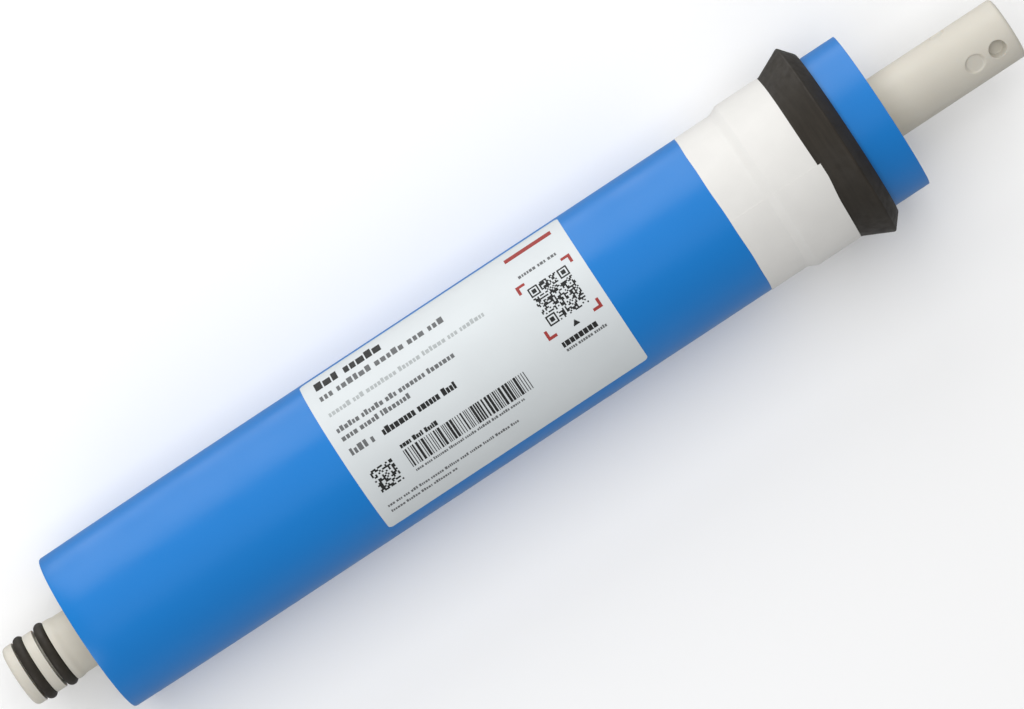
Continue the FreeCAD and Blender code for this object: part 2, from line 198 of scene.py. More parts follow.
class TapeSettings(bpy.types.PropertyGroup):
    thickness: size("Thickness", "One layer of tape", 0.13 * MM)
    ramp_start: size("Ramp start", "Where the tape lifts off the wrap", 223.1 * MM)
    ramp_end: size("Ramp end", "Where the tape reaches the sleeve", 225.4 * MM)
    slip: size("Slip", "How far the loose end slips along", 0.95 * MM)
    slip_angle: angle("Slip angle", "How far round the slip reaches", 30.0)
    outer_end: angle("Outer end", "Cut end on top, from straight up", 6.6)
    overlap: angle("Overlap", "Top layer over the first one", 34.0)
    colour: colour("Tape", "White tape", (0.70, 0.69, 0.665))


class LabelSettings(bpy.types.PropertyGroup):
    turn: angle("Turn", "Middle of the label, from straight up", -8.0)
    wrap_angle: angle("Wrap angle", "How far the label goes round", 138.0)
    corner: size("Corner", "Rounded label corners", 1.3 * MM)
    ink_depth: size("Ink", "Print over the label", 0.015 * MM)
    paper: colour("Paper", "Label", (0.62, 0.655, 0.67))
    dark_ink: colour("Dark ink", "Codes and bold lines", (0.02, 0.021, 0.021))
    grey_ink: colour("Grey ink", "Small lines", (0.14, 0.146, 0.15))
    pale_ink: colour("Pale ink", "Faint line", (0.42, 0.45, 0.455))
    red_ink: colour("Red ink", "Corner marks and heading", (0.34, 0.045, 0.04))


class StageSettings(bpy.types.PropertyGroup):
    camera_height: size("Camera height", "Camera over the axis", 1570 * MM)
    axis_turn: angle("Axis turn", "Element's axis in the picture", 33.37)
    focal_length: FloatProperty(name="Focal length", description="Camera lens, in mm",
                                default=219.4, min=1.0)
    key_power: FloatProperty(name="Key power", description="Softbox beside the element",
                             default=10.4, min=0.0, unit="POWER")
    fill_power: FloatProperty(name="Fill power", description="Soft light overhead",
                              default=15.5, min=0.0, unit="POWER")
    end_power: FloatProperty(name="End power", description="Soft light beyond the tip",
                             default=1.5, min=0.0, unit="POWER")
    room_light: FloatProperty(name="Room light", description="Even light from all round",
                              default=0.35, min=0.0)
    backdrop: colour("Backdrop", "Behind the floor", (0.82, 0.82, 0.82))
    floor_colour: colour("Floor", "Pale floor", (0.93, 0.93, 0.93))


SETTINGS = {
    "tube": TubeSettings,
    "roll": RollSettings,
    "wrap": WrapSettings,
    "seal": SealSettings,
    "tape": TapeSettings,
    "label": LabelSettings,
    "stage": StageSettings,
}


def settings(context, group):
    return getattr(context.scene, f"element_{group}")


# --- surfaces ---------------------------------------------------------------------

class Skin:
    """Grids of points that are joined into one closed mesh."""

    def __init__(self):
        self.points = []
        self.faces = []
        self.count = 0

    def grid(self, points, skip=None, flip=False):
        """Adds a grid of points, or a stack of grids of one size. Its faces look the
        way of (column step) x (row step), or the other way if flipped. skip is a mask
        of the faces to leave out."""
        rows, columns = points.shape[-3:-1]
        stack = points.reshape(-1, rows * columns, 3)
        first = np.arange(rows - 1)[:, None] * columns + np.arange(columns - 1)
        if skip is not None:
            first = first[~skip]
        first = first.reshape(-1, 1)
        corners = [0, columns, columns + 1, 1] if flip else [0, 1, columns + 1, columns]
        quads = first + np.array(corners)
        starts = self.count + np.arange(len(stack))[:, None, None] * rows * columns
        self.faces.append((starts + quads).reshape(-1, 4))
        self.points.append(stack.reshape(-1, 3))
        self.count += stack.shape[0] * rows * columns

    def piece(self, name, *materials):
        """Makes the mesh, welds its seams and poles, and returns its object."""
        points = np.concatenate(self.points)
        faces = np.concatenate(self.faces)
        mesh = bpy.data.meshes.new(name)
        mesh.vertices.add(len(points))
        mesh.vertices.foreach_set("co", points.ravel())
        mesh.loops.add(faces.size)
        mesh.loops.foreach_set("vertex_index", faces.ravel())
        mesh.polygons.add(len(faces))
        mesh.polygons.foreach_set("loop_start", np.arange(len(faces)) * 4)
        mesh.update(calc_edges=True)
        welded = bmesh.new()
        welded.from_mesh(mesh)
        bmesh.ops.remove_doubles(welded, verts=welded.verts, dist=WELD)
        bmesh.ops.dissolve_degenerate(welded, edges=welded.edges, dist=WELD)
        welded.to_mesh(mesh)
        welded.free()
        if mesh.validate():
            raise RuntimeError(f"{name} has broken faces")
        mesh.shade_smooth()
        mesh.set_sharp_from_angle(angle=SHARP_CORNER)
        for material in materials:
            mesh.materials.append(material)
        piece = bpy.data.objects.new(name, mesh)
        bpy.context.scene.collection.objects.link(piece)
        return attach(piece, BODY)


def bend(before, corner, after, reach, steps=5):
    """A smooth bend at a corner: a quadratic curve that leaves each side at the reach
    from the corner. The three points are arrays that end in one axis of coordinates."""
    back = before - corner
    on = after - corner
    back_length = np.linalg.norm(back, axis=-1, keepdims=True)
    on_length = np.linalg.norm(on, axis=-1, keepdims=True)
    leave = corner + back * np.minimum(reach / back_length, 0.48)
    enter = corner + on * np.minimum(reach / on_length, 0.48)
    t = np.linspace(0, 1, steps + 1).reshape((-1,) + (1,) * np.ndim(corner))
    return (1 - t) ** 2 * leave + 2 * t * (1 - t) * corner + t ** 2 * enter


def profile(corners):
    """A closed outline from (along, radius, rounding) corners, each one bent."""
    points = np.array([corner[:2] for corner in corners])
    runs = []
    for index, (_, _, rounding) in enumerate(corners):
        if rounding == 0:
            runs.append(points[index][None])
            continue
        before = points[index - 1]
        after = points[(index + 1) % len(points)]
        runs.append(bend(before, points[index], after, rounding))
    outline = np.concatenate(runs)
    return np.vstack([outline, outline[:1]])


def lathe(skin, outline, columns=192):
    """Turns an outline once round the axis. It runs towards the far end on its outer
    side, so that the faces look out."""
    turn = np.linspace(0, 2 * np.pi, columns + 1)
    skin.grid(turned(outline[:, 0, None], outline[:, 1, None], turn))


def smooth_step(value):
    value = np.clip(value, 0, 1)
    return value * value * (3 - 2 * value)


# --- materials --------------------------------------------------------------------

class Recipe:
    """A node material round one Principled shader."""

    def __init__(self, name, **sockets):
        self.material = bpy.data.materials.new(name)
        self.material.use_nodes = True
        self.tree = self.material.node_tree
        self.shader = self.tree.nodes["Principled BSDF"]
        for socket, value in sockets.items():
            self.shader.inputs[socket.replace("_", " ")].default_value = value
        self.places = self.node("ShaderNodeTexCoord").outputs["Object"]

    def node(self, kind, **settings):
        made = self.tree.nodes.new(kind)
        for key, value in settings.items():
            setattr(made, key, value)
        return made

    def feed(self, source, socket):
        self.tree.links.new(source, socket)

    def noise(self, scale, detail=3.0, stretch=None, roughness=0.5):
        """Noise on the piece's own coordinates, in features per metre."""
        texture = self.node("ShaderNodeTexNoise")
        texture.inputs["Scale"].default_value = scale
        texture.inputs["Detail"].default_value = detail
        texture.inputs["Roughness"].default_value = roughness
        coordinates = self.places
        if stretch is not None:
            mapping = self.node("ShaderNodeMapping")
            mapping.inputs["Scale"].default_value = stretch
            self.feed(coordinates, mapping.inputs["Vector"])
            coordinates = mapping.outputs["Vector"]
        self.feed(coordinates, texture.inputs["Vector"])
        return texture.outputs["Fac"]

    def spread(self, source, low, high):
        """Maps the middle of a noise onto a range of numbers."""
        ramp = self.node("ShaderNodeMapRange")
        ramp.inputs["From Min"].default_value = 0.3
        ramp.inputs["From Max"].default_value = 0.7
        ramp.inputs["To Min"].default_value = low
        ramp.inputs["To Max"].default_value = high
        self.feed(source, ramp.inputs["Value"])
        return ramp.outputs["Result"]

    def tint(self, source, colour, shade, socket="Base Color"):
        """Colours the surface between a colour and a shade of it."""
        ramp = self.node("ShaderNodeValToRGB")
        ramp.color_ramp.elements[0].position = 0.3
        ramp.color_ramp.elements[0].color = (*(part * shade for part in colour), 1)
        ramp.color_ramp.elements[1].position = 0.7
        ramp.color_ramp.elements[1].color = (*colour, 1)
        self.feed(source, ramp.inputs["Fac"])
        self.feed(ramp.outputs["Color"], self.shader.inputs[socket])

    def bump(self, source, depth, strength=1.0, after=None):
        """Raises the surface by the source times a depth in metres."""
        relief = self.node("ShaderNodeBump")
        relief.inputs["Strength"].default_value = strength
        relief.inputs["Distance"].default_value = depth
        self.feed(source, relief.inputs["Height"])
        if after is not None:
            self.feed(after, relief.inputs["Normal"])
        self.feed(relief.outputs["Normal"], self.shader.inputs["Normal"])
        return relief.outputs["Normal"]


def moulded_plastic(tone):
    """Off-white engineering plastic, satin, with flow marks and a fine grain."""
    recipe = Recipe("moulded_plastic", Specular_IOR_Level=0.45, Subsurface_Weight=0.12,
                    Subsurface_Scale=0.002)
    recipe.shader.inputs["Subsurface Radius"].default_value = (1.0, 0.7, 0.45)
    flow = recipe.noise(45, detail=4, stretch=(0.35, 1, 1))
    recipe.tint(flow, tone, 0.95)
    recipe.feed(recipe.spread(recipe.noise(260, detail=2), 0.36, 0.5),
                recipe.shader.inputs["Roughness"])
    waves = recipe.bump(recipe.noise(70, detail=1), 0.00012, 0.35)
    recipe.bump(recipe.noise(2600, detail=3), 0.00001, 0.5, after=waves)
    return recipe.material


def black_rubber(name, tone, streaks):
    """Nitrile rubber, dusty in places, with marks that run round the axis or at random."""
    recipe = Recipe(name, Specular_IOR_Level=0.3)
    stretch = (1.0, 0.12, 0.12) if streaks else None
    recipe.tint(recipe.noise(900, detail=4, stretch=stretch), tone, 0.72)
    recipe.feed(recipe.spread(recipe.noise(420, detail=3), 0.42, 0.62),
                recipe.shader.inputs["Roughness"])
    recipe.bump(recipe.noise(1500, detail=4), 0.00002, 0.6)
    return recipe.material


def blue_film(tone):
    """Tight plastic film, glossy, with faint ripples and pulls along the roll."""
    recipe = Recipe("blue_film", Specular_IOR_Level=0.5)
    recipe.tint(recipe.noise(30, detail=3, stretch=(0.5, 1, 1)), tone, 0.94)
    recipe.feed(recipe.spread(recipe.noise(90, detail=3), 0.30, 0.38),
                recipe.shader.inputs["Roughness"])
    ripples = recipe.bump(recipe.noise(24, detail=2, stretch=(0.4, 1, 1)), 0.0006, 0.35)
    recipe.bump(recipe.noise(700, detail=3), 0.00001, 0.35, after=ripples)
    return recipe.material


def white_tape(tone):
    """Adhesive tape, satin, with fine wrinkles."""
    recipe = Recipe("white_tape", Specular_IOR_Level=0.4)
    recipe.tint(recipe.noise(120, detail=3), tone, 0.96)
    recipe.feed(recipe.spread(recipe.noise(300, detail=2), 0.38, 0.5),
                recipe.shader.inputs["Roughness"])
    folds = recipe.bump(recipe.noise(220, detail=3, stretch=(1, 0.3, 0.3)), 0.00008, 0.4)
    recipe.bump(recipe.noise(2400, detail=2), 0.000008, 0.5, after=folds)
    return recipe.material


def label_paper(tone):
    """Coated label stock with a soft tooth."""
    recipe = Recipe("label_paper", Specular_IOR_Level=0.4)
    recipe.tint(recipe.noise(80, detail=3), tone, 0.97)
    recipe.feed(recipe.spread(recipe.noise(500, detail=2), 0.40, 0.48),
                recipe.shader.inputs["Roughness"])
    recipe.bump(recipe.noise(3200, detail=2), 0.000006, 0.5)
    return recipe.material


def ink(name, tone):
    """Thermal print, a little uneven where the head skipped."""
    recipe = Recipe(name, Specular_IOR_Level=0.3)
    recipe.tint(recipe.noise(1800, detail=3), tone, 0.8)
    recipe.feed(recipe.spread(recipe.noise(900), 0.45, 0.6),
                recipe.shader.inputs["Roughness"])
    recipe.bump(recipe.noise(5000, detail=1), 0.000004, 0.5)
    return recipe.material


def membrane_face(tone):
    """Cast membrane on its backing, smooth, with a cut fibrous edge."""
    recipe = Recipe("membrane_face", Specular_IOR_Level=0.35)
    recipe.tint(recipe.noise(600, detail=3), tone, 0.9)
    recipe.feed(recipe.spread(recipe.noise(700), 0.5, 0.65),
                recipe.shader.inputs["Roughness"])
    recipe.bump(recipe.noise(4000, detail=3), 0.00003, 0.6)
    return recipe.material


def carrier_cloth(tone):
    """Knitted carrier, soaked with glue at its edges."""
    recipe = Recipe("carrier_cloth", Specular_IOR_Level=0.45)
    recipe.tint(recipe.noise(900, detail=4), tone, 0.7)
    recipe.feed(recipe.spread(recipe.noise(500), 0.35, 0.6),
                recipe.shader.inputs["Roughness"])
    recipe.bump(recipe.noise(3000, detail=3), 0.00005, 0.7)
    return recipe.material


def net_plastic(tone):
    """Extruded net, waxy and slightly clear."""
    recipe = Recipe("net_plastic", Specular_IOR_Level=0.5, Subsurface_Weight=0.3,
                    Subsurface_Scale=0.0008)
    recipe.tint(recipe.noise(500, detail=3), tone, 0.85)
    recipe.feed(recipe.spread(recipe.noise(900), 0.3, 0.45),
                recipe.shader.inputs["Roughness"])
    recipe.bump(recipe.noise(2500, detail=2), 0.00002, 0.5)
    return recipe.material


# --- permeate tube ----------------------------------------------------------------

Dimple = namedtuple("Dimple", "place turn floor depth flare")
DIMPLES = [
    Dimple(285.5 * MM, math.radians(23.4), 2.15 * MM, 0.7 * MM, math.radians(45)),
    Dimple(292.2 * MM, math.radians(23.4), 2.1 * MM, 3.0 * MM, math.radians(5.5)),
    Dimple(281.6 * MM, math.radians(-75), 1.95 * MM, 0.35 * MM, math.radians(20)),
]
DIMPLE_ZONE_START = 278.6 * MM
ROW_STEP = 0.6 * MM
DIMPLE_MARGIN = 0.55 * MM


def dimple_patch(skin, dimple, radius, border):
    """The surface from a dimple's middle to a border ring of points on the tube: a
    flat floor, a straight flaring wall, a rounded rim where the wall meets the tube,
    and the tube's own surface out to the border. Every ring has a point in each
    border point's direction, at a distance from the dimple's centre line."""
    along, turn = border
    run = along - dimple.place
    across = radius * np.sin(turn - dimple.turn)
    reach = np.hypot(run, across)
    bearing = np.stack([run, across], axis=-1) / reach[:, None]
    floor = np.full_like(reach, radius - dimple.depth)
    rim = np.full_like(reach, dimple.floor)
    for _ in range(12):
        rim_height = np.sqrt(radius ** 2 - (rim * bearing[:, 1]) ** 2)
        rim = dimple.floor + (rim_height - floor) * math.tan(dimple.flare)
    rim_height = np.sqrt(radius ** 2 - (rim * bearing[:, 1]) ** 2)
    middle = np.stack([np.zeros_like(reach), floor], axis=-1)
    foot = np.stack([np.full_like(reach, dimple.floor), floor], axis=-1)
    lip = np.stack([rim, rim_height], axis=-1)
    outer = (rim + reach) / 2
    outer_height = np.sqrt(radius ** 2 - (outer * bearing[:, 1]) ** 2)
    edge_height = np.sqrt(radius ** 2 - (reach * bearing[:, 1]) ** 2)
    beyond = np.stack([outer, outer_height], axis=-1)
    border_line = np.stack([reach, edge_height], axis=-1)
    rings = np.concatenate([
        middle[None],
        (middle + (foot - middle) * 0.5)[None],
        bend(middle, foot, lip, 0.18 * MM, steps=4),
        bend(foot, lip, beyond, 0.16 * MM, steps=4),
        beyond[None],
        border_line[None],
    ])
    distance = rings[..., 0]
    height = rings[..., 1]
    cross = distance * bearing[:, 1]
    points = turned(
        dimple.place + distance * bearing[:, 0],
        np.hypot(height, cross),
        dimple.turn + np.arctan2(cross, height),
    )
    skin.grid(points, flip=True)


def block_border(along, turn, rows, columns):
    """The ring of grid points round a block of rows and columns, back to its start."""
    top, bottom = rows
    left, right = columns
    down = np.arange(top, bottom)
    over = np.arange(left, right)
    row = np.concatenate([np.full(over.size, top), down,
                          np.full(over.size, bottom), down[::-1] + 1, [top]])
    column = np.concatenate([over, np.full(down.size, right),
                             over[::-1] + 1, np.full(down.size, left), [left]])
    return along[row], turn[column]


def permeate_tube(sizes):
    """One lathe outline from the bore's mouth over the spigot and back through the
    bore, with a grid between that carries the dimples."""
    skin = Skin()
    far = TUBE.end
    zone_end = far - sizes.far_rounding
    start = DIMPLE_ZONE_START
    soft = 0.15 * MM
    corners = [
        (sizes.bore_chamfer, sizes.bore_radius, 0),
        (TUBE.start, sizes.bore_radius + sizes.bore_chamfer, soft),
        (TUBE.start, sizes.tip_radius, sizes.tip_rounding),
        (sizes.outer_groove_start, sizes.tip_radius, soft),
        (sizes.outer_groove_start, sizes.groove_radius, soft),
        (sizes.outer_groove_end, sizes.groove_radius, soft),
        (sizes.outer_groove_end, sizes.land_radius, soft),
        (sizes.inner_groove_start, sizes.land_radius, soft),
        (sizes.inner_groove_start, sizes.groove_radius, soft),
        (sizes.inner_groove_end, sizes.groove_radius, soft),
        (sizes.inner_groove_end, sizes.rib_radius, soft),
        (sizes.rib_end - 0.5 * MM, sizes.rib_radius, 0.3 * MM),
        (sizes.rib_end + 0.7 * MM, sizes.core_radius, 0.5 * MM),
        (WRAP.end, sizes.core_radius, 0),
        (WRAP.end, sizes.stub_radius, 0),
        (start, sizes.stub_radius, 0),
        (zone_end, sizes.stub_radius, 0),
        (far, sizes.stub_radius, sizes.far_rounding),
        (far, 0.0, 0),
        (sizes.bore_depth, 0.0, 0),
        (sizes.bore_depth, sizes.bore_radius, soft),
    ]
    outline = profile(corners)
    columns = 240
    turn = np.linspace(0, 2 * np.pi, columns + 1) - np.pi
    cut = np.flatnonzero(np.isclose(outline[:, 0], start))[0]
    skin.grid(turned(outline[:cut + 1, 0, None], outline[:cut + 1, 1, None], turn))
    skin.grid(turned(outline[cut + 1:, 0, None], outline[cut + 1:, 1, None], turn))

    rows = int(np.ceil((zone_end - start) / ROW_STEP))
    along = np.linspace(start, zone_end, rows + 1)
    skip = np.zeros((rows, columns), bool)
    row_step = (zone_end - start) / rows
    turn_step = turn[1] - turn[0]
    for dimple in DIMPLES:
        top_rim = dimple.floor + dimple.depth * math.tan(dimple.flare) + DIMPLE_MARGIN
        half_turn = math.asin(top_rim / sizes.stub_radius)
        block_rows = (
            int(np.floor((dimple.place - top_rim - start) / row_step)),
            int(np.ceil((dimple.place + top_rim - start) / row_step)),
        )
        block_columns = (
            int(np.floor((dimple.turn - half_turn - turn[0]) / turn_step)),
            int(np.ceil((dimple.turn + half_turn - turn[0]) / turn_step)),
        )
        block_rows = (block_rows[0], min(block_rows[1], rows))
        skip[slice(*block_rows), slice(*block_columns)] = True
        border = block_border(along, turn, block_rows, block_columns)
        dimple_patch(skin, dimple, sizes.stub_radius, border)
    skin.grid(turned(along[:, None], sizes.stub_radius, turn), skip=skip)
    return skin.piece("tube_moulding", moulded_plastic(sizes.colour))


Cord = namedtuple("Cord", "width height")


def o_ring(name, where, cord, material):
    """A torus: the cord's section, a circle flattened on to its groove, carried round
    the axis. It leans against the groove wall away from the tip."""
    turn = np.linspace(0, 2 * np.pi, 33)
    middle = where.end - cord.width
    outline = np.stack([middle - cord.width * np.cos(turn),
                        where.outer - cord.height + cord.height * np.sin(turn)], axis=-1)
    skin = Skin()
    lathe(skin, outline, columns=160)
    return skin.piece(name, material)


# --- roll -------------------------------------------------------------------------

HALF_TURN_STEPS = 44


def roll_side(first_radius, climb, halves, steps=HALF_TURN_STEPS):
    """One side of a rolled sheet, as side and up coordinates: half turns whose centres
    swap by half the climb, so that the radius grows by the climb in each turn."""
    count = int(round(halves * steps))
    progress = np.arange(count + 1) / steps
    half = np.minimum(np.floor(progress), np.ceil(halves) - 1)
    radius = first_radius + half * climb / 2
    centre = (half % 2) * climb / 2
    swing = np.pi * progress
    return np.stack([centre + radius * np.cos(swing), radius * np.sin(swing)], axis=-1)


def strip(skin, inner, outer, start, end):
    """A sheet between two curves across the roll: its rectangular section, from start
    to end along the axis and from the inner curve to the outer one, is carried along
    them, and both of its ends are closed."""
    def corner(along, curve):
        return place(along, curve[:, 0], curve[:, 1])

    loop = [corner(end, outer), corner(start, outer), corner(start, inner),
            corner(end, inner), corner(end, outer)]
    skin.grid(np.stack(loop, axis=1))
    for step, flip in ((0, False), (-1, True)):
        cap = np.array([[loop[0][step], loop[1][step]], [loop[3][step], loop[2][step]]])
        skin.grid(cap, flip=flip)


def roll_layers(sizes):
    """Radius of the lead turn, radius of the first channel, climb of a turn, and gap."""
    lead = sizes_tube_radius() + sizes.carrier
    channel = lead + sizes.carrier + sizes.membrane
    climb = (WRAP.inner - channel) / sizes.turns
    return lead, channel, climb, climb - sizes.carrier - 2 * sizes.membrane


def sizes_tube_radius():
    return settings(bpy.context, "tube").core_radius


def membrane_roll(sizes):
    """The sealed envelope, as its membrane sheets and the carrier between them."""
    lead, channel, climb, gap = roll_layers(sizes)
    core = sizes_tube_radius()
    halves = 2 * sizes.turns - 1
    start = ENVELOPE.start
    end = ENVELOPE.end
    recess = 0.12 * MM

    carrier = Skin()
    strip(carrier, roll_side(core, sizes.carrier, 2), roll_side(lead, sizes.carrier, 2),
          start + recess, end - recess)
    strip(carrier, roll_side(lead, climb, 2), roll_side(lead + sizes.carrier, climb, 2),
          start + recess, end - recess)
    over = channel + gap + sizes.membrane
    strip(carrier, roll_side(over, climb, halves),
          roll_side(over + sizes.carrier, climb, halves), start + recess, end - recess)

    membrane = Skin()
    strip(membrane, roll_side(channel - sizes.membrane, climb, 2),
          roll_side(channel, climb, 2), start, end)
    strip(membrane, roll_side(channel + gap, climb, halves),
          roll_side(over, climb, halves), start, end)
    strip(membrane, roll_side(over + sizes.carrier, climb, halves),
          roll_side(channel + climb, climb, halves), start, end)
    swing = np.linspace(np.pi, 2 * np.pi, 17)
    fold = np.stack([np.cos(swing), np.sin(swing)], axis=-1)
    middle = np.array([channel + gap / 2, 0.0])
    strip(membrane, middle + fold * gap / 2, middle + fold * (gap / 2 + sizes.membrane),
          start, end)
    sheets = membrane.piece("membrane_sheets", membrane_face(sizes.membrane_colour))
    cloth = carrier.piece("carrier_cloth", carrier_cloth(sizes.carrier_colour))
    return sheets, cloth


def spacer_net(sizes):
    """The net between the turns: a sheet, and the cut strands that stand out of both
    its ends, leaning one way near its inner face and the other way near its outer one."""
    lead, channel, climb, gap = roll_layers(sizes)
    halves = 2 * sizes.turns
    inner = roll_side(channel, climb, halves)
    outer = roll_side(channel + gap, climb, halves)
    inside = np.hypot(outer[:, 0], outer[:, 1]) < WRAP.inner
    inner = inner[inside]
    outer = outer[inside]
    skin = Skin()
    strip(skin, inner, outer, SPACER.start, SPACER.end)

    middle = (inner + outer) / 2
    steps = np.linalg.norm(np.diff(middle, axis=0), axis=1)
    travelled = np.concatenate([[0], np.cumsum(steps)])
    count = int(travelled[-1] / sizes.strand_pitch)
    wander = np.random.default_rng(7)
    for side, face, out in ((0, SPACER.start, -1), (1, SPACER.end, 1)):
        for layer, lean in ((0.27, 1), (0.73, -1)):
            at = (np.arange(count) + 0.25 + 0.5 * (lean > 0)) * sizes.strand_pitch
            at = at + wander.normal(0, 0.1, count) * sizes.strand_pitch
            at = np.clip(at, 0, travelled[-1])
            seat = np.stack([
                np.interp(at, travelled, inner[:, axis] * (1 - layer) + outer[:, axis] * layer)
                for axis in (0, 1)
            ], axis=-1)
            radial = seat / np.linalg.norm(seat, axis=1, keepdims=True)
            tangent = np.stack([-radial[:, 1], radial[:, 0]], axis=-1)
            strands(skin, seat, radial, tangent, face, out, lean, gap, sizes, wander)
    return skin.piece("spacer_net", net_plastic(sizes.net_colour))


STRAND_RINGS = ((-0.9, 1.0), (0.75, 1.0), (1.0, 0.72), (1.0, 0.0))
STRAND_SIDES = 8
STRAND_LEAN = 0.5


def strands(skin, seat, radial, tangent, face, out, lean, gap, sizes, wander):
    """Short rods: rings of points at a share of the reach out of the sheet's face,
    shifted along the sheet by the lean, the last ring closed to a point."""
    reach = sizes.strand_reach * (1 + wander.uniform(-0.25, 0.15, len(seat)))
    thick = 0.25 * gap
    swing = np.linspace(0, 2 * np.pi, STRAND_SIDES + 1)
    share = np.array([ring[0] for ring in STRAND_RINGS])
    width = np.array([ring[1] for ring in STRAND_RINGS])
    depth = share[None, :] * reach[:, None]
    shift = depth * lean * STRAND_LEAN
    centre = seat[:, None] + shift[..., None] * tangent[:, None]
    rim = (np.cos(swing)[:, None] * radial[:, None, None]
           + np.sin(swing)[:, None] * tangent[:, None, None])
    ring = centre[:, :, None] + thick * width[None, :, None, None] * rim
    along = face + out * depth
    points = place(along[:, :, None], ring[..., 0], ring[..., 1])
    skin.grid(points, flip=out > 0)


# --- wrap and seal ----------------------------------------------------------------

def body_wrap(sizes):
    """One outline turned round the axis: slim at the spigot end, full along the
    middle, and a collar beyond the seal."""
    skin = Skin()
    swell = np.linspace(0, 1, 9)
    begin = WRAP.start + 0.4 * MM
    rise = sizes.edge_radius + (WRAP.outer - sizes.edge_radius) * np.sin(swell * np.pi / 2)
    run = begin + (sizes.swell_end - begin) * swell
    corners = [(WRAP.start, WRAP.inner, 0), (WRAP.start, sizes.edge_radius - 0.2 * MM, 0.1 * MM)]
    corners += [(x, r, 0) for x, r in zip(run, rise)]
    corners += [
        (sizes.collar_start, WRAP.outer, 0),
        (sizes.collar_start, sizes.collar_radius, 0),
        (WRAP.end, sizes.collar_radius, 0.15 * MM),
        (WRAP.end, WRAP.inner, 0),
    ]
    lathe(skin, profile(corners), columns=256)
    return skin.piece("wrap_film", blue_film(sizes.colour))


def brine_seal(sizes, material):
    """One outline turned round the axis: sleeve, flank, crest, back and undercut."""
    skin = Skin()
    flank = TAPE.end
    outline = profile([
        (SEAL.start, WRAP.outer, 0),
        (SEAL.start, sizes.sleeve_radius, 0),
        (flank, sizes.sleeve_radius, 0.6 * MM),
        (sizes.crest_start, SEAL.outer, 0.25 * MM),
        (sizes.crest_end, SEAL.outer, 0.25 * MM),
        (SEAL.end, sizes.heel_radius, 0.35 * MM),
        (sizes.undercut_start, WRAP.outer, 0),
    ])
    lathe(skin, outline, columns=256)
    return skin.piece("lip_seal", material)


def seal_tape(sizes):
    """Tape wound a little over one turn. Its section, a thin band that follows the
    wrap, the ramp and the sleeve, is carried round the axis; its last stretch climbs
    on to its first, and there its right edge slips outwards."""
    skin = Skin()
    thick = sizes.thickness
    sleeve = TAPE.outer - thick
    whole = 2 * np.pi + sizes.overlap
    travel = np.linspace(0, whole, 301)
    turn = sizes.outer_end + whole - travel
    lift = thick * smooth_step((travel - whole + 2 * sizes.overlap) / sizes.overlap)
    slipped = smooth_step((travel - whole + sizes.slip_angle) / sizes.slip_angle)
    right = TAPE.end - 0.25 * MM + sizes.slip * slipped + 0.06 * MM * np.sin(5 * travel)
    left = TAPE.start + 0.10 * MM * np.sin(3 * travel + 1) + 0.05 * MM * np.sin(11 * travel)
    rim = 0.03 * MM
    level = WRAP.outer + thick
    curve = 0.35 * MM
    outside = [
        (left, level - rim),
        (left + rim, level),
        (sizes.ramp_start - curve, level),
        (sizes.ramp_start, level + 0.2 * curve),
        (sizes.ramp_start + curve, level + 0.7 * curve),
        (sizes.ramp_end - curve, TAPE.outer - 0.7 * curve),
        (sizes.ramp_end, TAPE.outer - 0.2 * curve),
        (sizes.ramp_end + curve, TAPE.outer),
        (right - rim, TAPE.outer),
        (right, TAPE.outer - rim),
    ]
    inside = [(along, radius - thick) for along, radius in reversed(outside[1:-1])]
    rows = outside + [(right, sleeve)] + inside + [(left, WRAP.outer), outside[0]]
    along = np.stack([np.broadcast_to(row[0], travel.shape) for row in rows])
    radius = np.stack([np.full(travel.shape, row[1]) for row in rows]) + lift
    skin.grid(turned(along, radius, turn), flip=True)
    upper = slice(0, len(outside))
    for column, flip in ((0, True), (-1, False)):
        top = turned(along[upper, column], radius[upper, column], turn[column])
        low = turned(along[upper, column], radius[upper, column] - thick, turn[column])
        skin.grid(np.stack([top, low], axis=1), flip=flip)
    return skin.piece("tape_band", white_tape(sizes.colour))


# --- label ------------------------------------------------------------------------

def patch(skin, start, end, low_turn, high_turn, inner, outer, rows=None, columns=None,
          corner=0.0):
    """A closed sheet on the wrap, with rounded corners: each row across it is shorter
    near both ends by what a circle of the corner's radius takes off."""
    middle_turn = (low_turn + high_turn) / 2
    half_turn = (high_turn - low_turn) / 2
    columns = columns or max(1, int(np.ceil(2 * half_turn * outer / (0.7 * MM))))
    if corner:
        swing = np.linspace(0, np.pi / 2, 7)
        inset = corner * (1 - np.sin(swing))
        along = np.concatenate([start + corner * (1 - np.cos(swing)),
                                end - corner * (1 - np.cos(swing[::-1]))])
        cut = np.concatenate([inset, inset[::-1]])
    else:
        along = np.linspace(start, end, (rows or 1) + 1)
        cut = np.zeros(len(along))
    width = half_turn - cut[:, None] / outer
    turn = middle_turn + width * np.linspace(-1, 1, columns + 1)
    top = turned(along[:, None], outer, turn)
    bottom = turned(along[:, None], inner, turn)
    skin.grid(top)
    skin.grid(bottom, flip=True)
    skin.grid(np.stack([bottom[:, 0], top[:, 0]], axis=1))
    skin.grid(np.stack([top[:, -1], bottom[:, -1]], axis=1))
    skin.grid(np.stack([bottom[0], top[0]], axis=0))
    skin.grid(np.stack([top[-1], bottom[-1]], axis=0))


